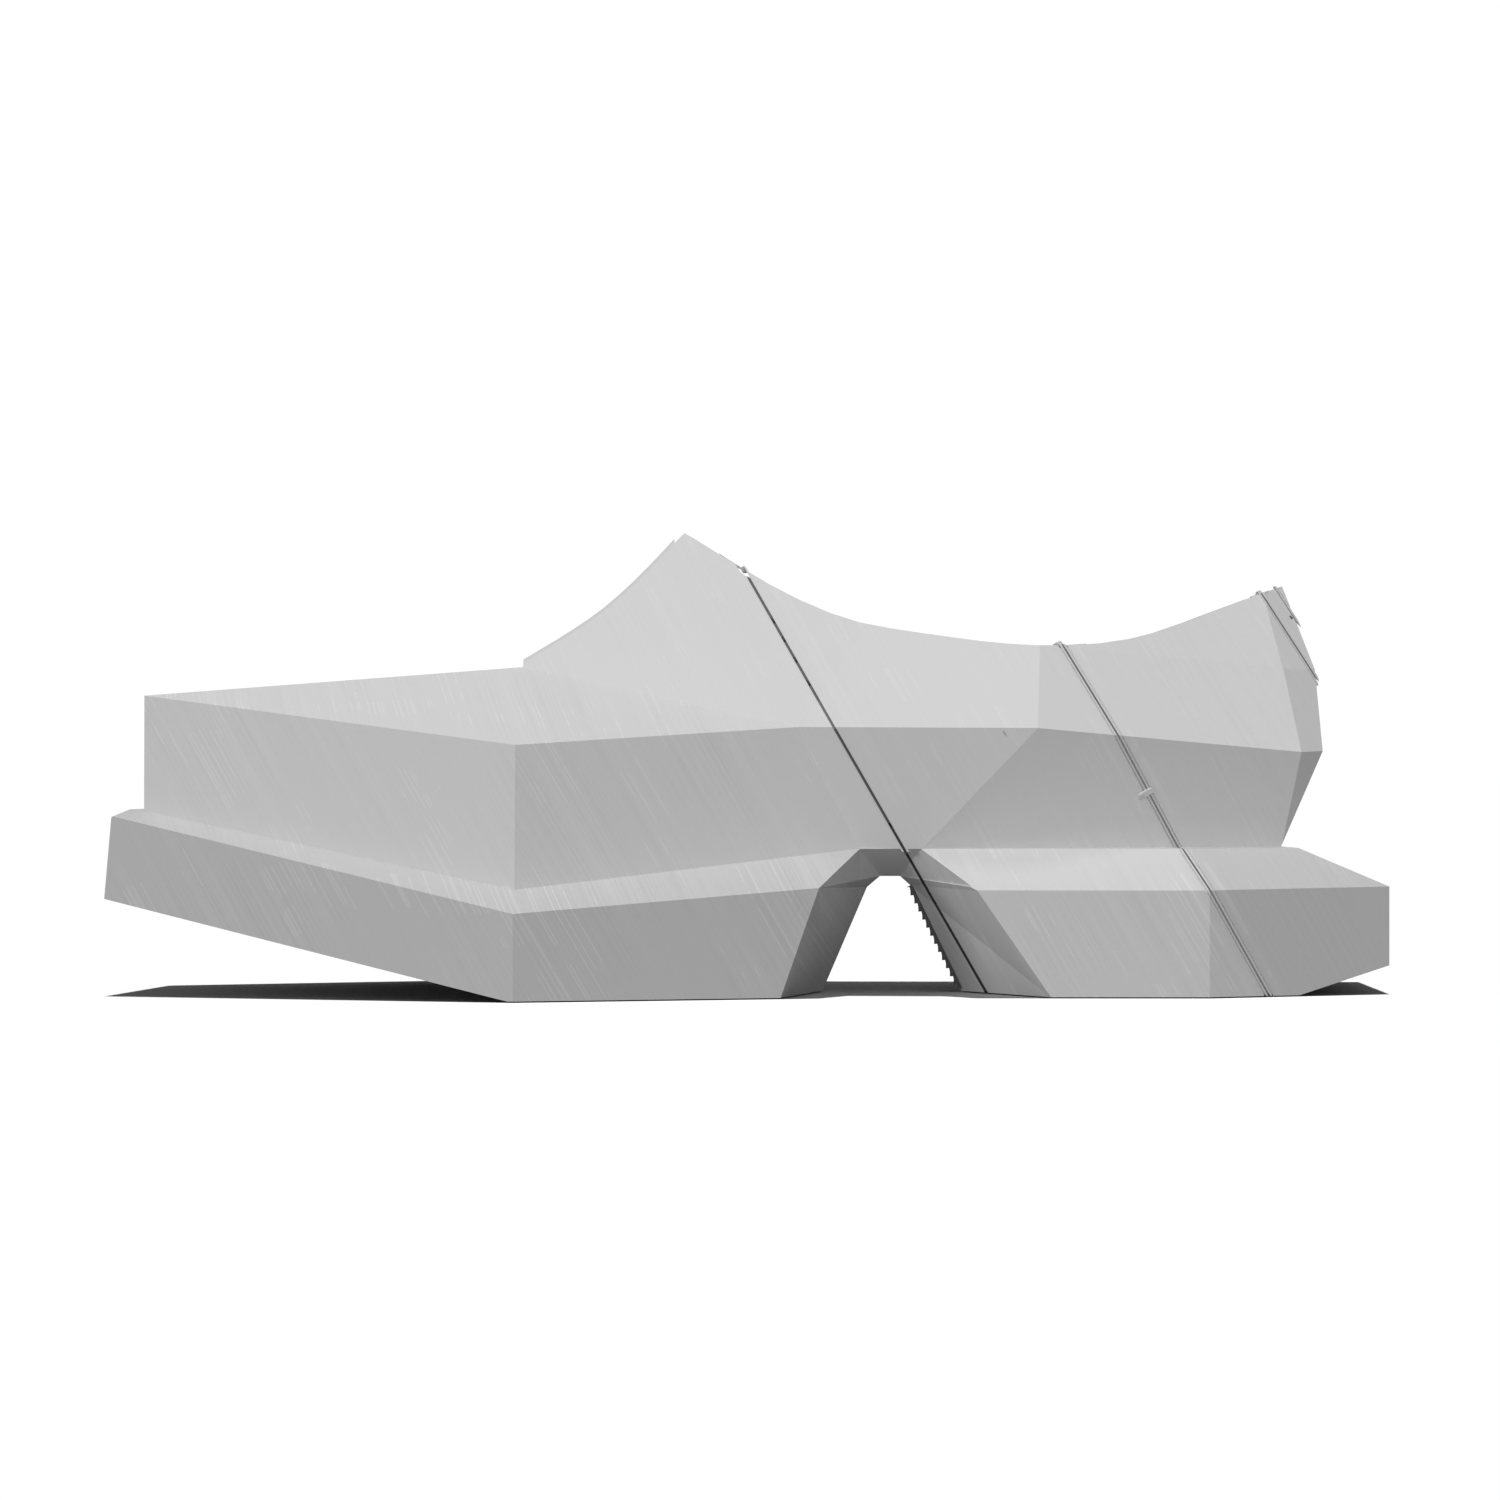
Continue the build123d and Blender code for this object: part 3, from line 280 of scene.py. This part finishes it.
# ------------------------------------------------------------------- the stage
def stage_plane(name, z, value, **flags):
    me = bpy.data.meshes.new(name)
    s = 60.0
    me.from_pydata([(-s, -s, z), (s, -s, z), (s, s, z), (-s, s, z)], [], [(0, 1, 2, 3)])
    f = bpy.data.objects.new(name, me)
    scene.collection.objects.link(f)
    m, nt = new_mat(name)
    out = node(nt, "ShaderNodeOutputMaterial")
    bs = node(nt, "ShaderNodeBsdfPrincipled")
    bs.inputs["Base Color"].default_value = (value, value, value, 1)
    bs.inputs["Roughness"].default_value = 0.9
    bs.inputs["Specular IOR Level"].default_value = 0.0
    nt.links.new(bs.outputs[0], out.inputs[0])
    me.materials.append(m)
    for flag, on in flags.items():
        setattr(f, flag, on)
    return f


# the pale floor that is seen, and a duller one just under it for the light that bounces
floor = stage_plane("floor", 0.0, 0.93, visible_diffuse=False, visible_glossy=False, visible_shadow=False)
bounce = stage_plane("floor_bounce", -0.0004, 0.27, visible_camera=False)

world = bpy.data.worlds.new("white")
scene.world = world
world.use_nodes = True
bg = world.node_tree.nodes.get("Background") or world.node_tree.nodes.new("ShaderNodeBackground")
wo = world.node_tree.nodes.get("World Output") or world.node_tree.nodes.new("ShaderNodeOutputWorld")
world.node_tree.links.new(bg.outputs[0], wo.inputs[0])
bg.inputs[0].default_value = (1, 1, 1, 1)
bg.inputs[1].default_value = 0.10


def sun(name, direction, energy, angle):
    l = bpy.data.lights.new(name, "SUN")
    l.energy = energy
    l.angle = math.radians(angle)
    o = bpy.data.objects.new(name, l)
    scene.collection.objects.link(o)
    o.rotation_euler = Vector(direction).to_track_quat("-Z", "Y").to_euler()
    return o


def only(light, name, objs, include):
    """Light just these objects, or everything but them."""
    c = bpy.data.collections.new(name)
    for ob in objs:
        c.objects.link(ob)
    light.light_linking.receiver_collection = c
    if not include:
        for lk in c.collection_objects:
            lk.light_linking.link_state = "EXCLUDE"


FLOORS = [floor, bounce]
# the floor gets the sharper overhead light, the ramp a softer one
only(sun("overhead_floor", (0.0, 0.02, -1.0), 3.1, 2.5), "lit_floor", FLOORS, True)
for nm, d, e, a in (("overhead", (-0.08, 0.05, -1.0), 0.35, 12.0), ("front_left", (0.84, 0.54, -0.2), 0.70, 22.0),
                    ("front", (0.02, 0.98, -0.2), 1.17, 22.0),
                    ("rear", (-0.3, -0.9, -0.3), 0.55, 30.0)):
    only(sun(nm, d, e, a), nm + "_on", FLOORS, False)
open_top = sun("overhead_open", (-0.08, 0.05, -1.0), 1.62, 4.0)
open_top.data.use_shadow = False
only(open_top, "open_on", FLOORS, False)


def backdrop():
    """A plain white surround that only the camera sees, so that it adds no light."""
    me = bpy.data.meshes.new("backdrop")
    bm = bmesh.new()
    bmesh.ops.create_icosphere(bm, subdivisions=4, radius=90.0)
    bm.to_mesh(me)
    bm.free()
    o = bpy.data.objects.new("backdrop", me)
    scene.collection.objects.link(o)
    m, nt = new_mat("backdrop")
    out = node(nt, "ShaderNodeOutputMaterial")
    em = node(nt, "ShaderNodeEmission")
    em.inputs[0].default_value = (1, 1, 1, 1)
    em.inputs[1].default_value = 1.02
    nt.links.new(em.outputs[0], out.inputs[0])
    me.materials.append(m)
    for flag in ("visible_diffuse", "visible_glossy", "visible_transmission", "visible_volume_scatter", "visible_shadow"):
        setattr(o, flag, False)
    return o


backdrop()

scene.view_settings.view_transform = "Standard"
scene.view_settings.look = "None"
scene.view_settings.exposure = 0.0

# ------------------------------------------------------------------ the camera
cam = bpy.data.cameras.new("camera")
cam.sensor_width = 36.0
cam.lens = 120.0
cam.clip_end = 400.0
co = bpy.data.objects.new("camera", cam)
scene.collection.objects.link(co)
co.location = (0.0, -7.93, 0.382)
co.rotation_euler = (math.radians(90), 0, 0)
scene.camera = co

bpy.context.view_layer.update()
